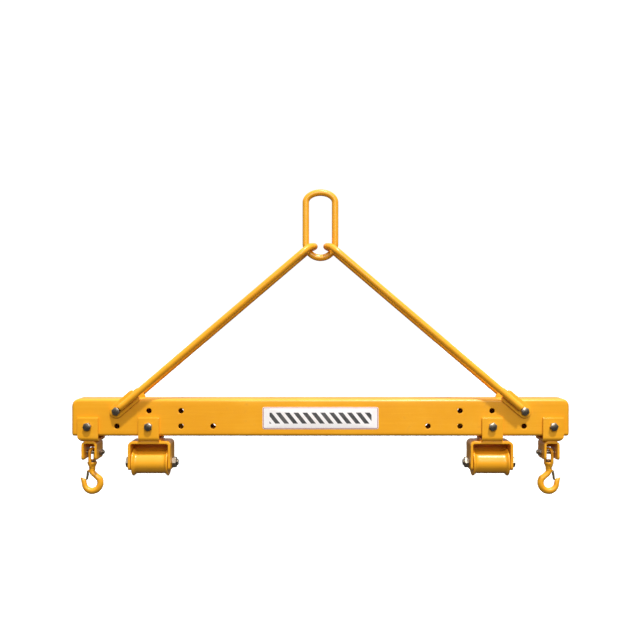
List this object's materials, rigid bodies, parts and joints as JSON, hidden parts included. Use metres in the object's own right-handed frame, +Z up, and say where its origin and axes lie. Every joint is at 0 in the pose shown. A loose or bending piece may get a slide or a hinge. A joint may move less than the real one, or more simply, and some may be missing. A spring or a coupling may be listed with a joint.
{
  "type": "spreader beam",
  "caption": "Yellow box-section lifting spreader beam on hairpin arms and a master link, with sling rollers and swivel latch hooks hung from bolted saddles.",
  "frame": {"origin": "the crane hook's seat: the top of the opening of the master link, on the middle plane of the beam", "axes": "+X along the beam to the right, +Y from the front face to the back, +Z up"},
  "size_m": [2.012, 0.1752, 1.2486],
  "materials": {
    "yellow_paint": "semi-gloss yellow enamel over steel, slightly uneven, thin at the edges",
    "zinc_plate": "dull bright zinc plate on steel fasteners",
    "bronze_bush": "plain turned bearing bronze",
    "latch_sheet": "yellow passivated pressed steel sheet",
    "label_film": "printed vinyl film with a plain border and hazard stripes, no lettering"
  },
  "bodies": {
    "beam": {"beam_tube": "yellow_paint", "left_end_cap": "yellow_paint", "left_hook_saddle": "yellow_paint", "left_hook_fork": "yellow_paint", "left_roller_saddle": "yellow_paint", "left_roller_fork": "yellow_paint", "left_hook_saddle_bolt": "zinc_plate", "left_hook_saddle_nut": "zinc_plate", "left_hook_saddle_crush_sleeve": "zinc_plate", "left_roller_saddle_bolt": "zinc_plate", "left_roller_saddle_nut": "zinc_plate", "left_roller_saddle_crush_sleeve": "zinc_plate", "left_arm_bolt": "zinc_plate", "left_arm_nut": "zinc_plate", "left_arm_crush_sleeve": "zinc_plate", "left_axle_bolt": "zinc_plate", "left_axle_nut": "zinc_plate", "left_hook_bolt": "zinc_plate", "left_hook_bolt_nut": "zinc_plate", "right_end_cap": "yellow_paint", "right_hook_saddle": "yellow_paint", "right_hook_fork": "yellow_paint", "right_roller_saddle": "yellow_paint", "right_roller_fork": "yellow_paint", "right_hook_saddle_bolt": "zinc_plate", "right_hook_saddle_nut": "zinc_plate", "right_hook_saddle_crush_sleeve": "zinc_plate", "right_roller_saddle_bolt": "zinc_plate", "right_roller_saddle_nut": "zinc_plate", "right_roller_saddle_crush_sleeve": "zinc_plate", "right_arm_bolt": "zinc_plate", "right_arm_nut": "zinc_plate", "right_arm_crush_sleeve": "zinc_plate", "right_axle_bolt": "zinc_plate", "right_axle_nut": "zinc_plate", "right_hook_bolt": "zinc_plate", "right_hook_bolt_nut": "zinc_plate", "side_label": "label_film"},
    "left_arm": {"left_arm_bar": "yellow_paint", "left_arm_front_lug": "yellow_paint", "left_arm_rear_lug": "yellow_paint"},
    "right_arm": {"right_arm_bar": "yellow_paint", "right_arm_front_lug": "yellow_paint", "right_arm_rear_lug": "yellow_paint"},
    "master_link": {"master_link": "yellow_paint"},
    "left_roller": {"left_roller": "yellow_paint", "left_roller_bush": "bronze_bush"},
    "left_bail": {"left_bail": "yellow_paint"},
    "left_hook": {"left_hook": "yellow_paint", "left_stem_collar": "zinc_plate", "left_latch_pin": "zinc_plate"},
    "left_latch": {"left_latch": "latch_sheet"},
    "right_roller": {"right_roller": "yellow_paint", "right_roller_bush": "bronze_bush"},
    "right_bail": {"right_bail": "yellow_paint"},
    "right_hook": {"right_hook": "yellow_paint", "right_stem_collar": "zinc_plate", "right_latch_pin": "zinc_plate"},
    "right_latch": {"right_latch": "latch_sheet"}
  },
  "joints": [
    {"name": "left_arm_pivot", "type": "hinge", "parent": "beam", "child": "left_arm", "pos_m": [-0.8219, 0, -0.875], "axis": [0, 1, 0], "range_deg": [0, 1.5]},
    {"name": "right_arm_pivot", "type": "hinge", "parent": "beam", "child": "right_arm", "pos_m": [0.8219, 0, -0.875], "axis": [0, 1, 0], "range_deg": [0, 1.5]},
    {"name": "master_link_swing", "type": "hinge", "parent": "left_arm", "child": "master_link", "pos_m": [0, 0, -0.227], "axis": [1, 0, 0], "range_deg": [-20, 20]},
    {"name": "left_roller_spin", "type": "hinge", "parent": "beam", "child": "left_roller", "pos_m": [-0.6926, 0, -1.09], "axis": [1, 0, 0], "continuous": true},
    {"name": "right_roller_spin", "type": "hinge", "parent": "beam", "child": "right_roller", "pos_m": [0.6926, 0, -1.09], "axis": [1, 0, 0], "continuous": true},
    {"name": "left_bail_swing", "type": "hinge", "parent": "beam", "child": "left_bail", "pos_m": [-0.935, 0, -1.049], "axis": [1, 0, 0], "range_deg": [-60, 60]},
    {"name": "left_hook_swivel", "type": "hinge", "parent": "left_bail", "child": "left_hook", "pos_m": [-0.935, 0, -1.115], "axis": [0, 0, 1], "continuous": true},
    {"name": "left_latch_hinge", "type": "hinge", "parent": "left_hook", "child": "left_latch", "pos_m": [-0.9515, 0, -1.127], "axis": [0, -1, 0], "range_deg": [0, 30], "stiffness_Nm_per_rad": 0.2, "springref_deg": -28.65},
    {"name": "right_bail_swing", "type": "hinge", "parent": "beam", "child": "right_bail", "pos_m": [0.935, 0, -1.049], "axis": [1, 0, 0], "range_deg": [-60, 60]},
    {"name": "right_hook_swivel", "type": "hinge", "parent": "right_bail", "child": "right_hook", "pos_m": [0.935, 0, -1.115], "axis": [0, 0, 1], "continuous": true},
    {"name": "right_latch_hinge", "type": "hinge", "parent": "right_hook", "child": "right_latch", "pos_m": [0.9515, 0, -1.127], "axis": [0, 1, 0], "range_deg": [0, 30], "stiffness_Nm_per_rad": 0.2, "springref_deg": -28.65}
  ],
  "couplings": [
    {"joint": "right_arm_pivot", "follows": "left_arm_pivot", "ratio": 1}
  ]
}
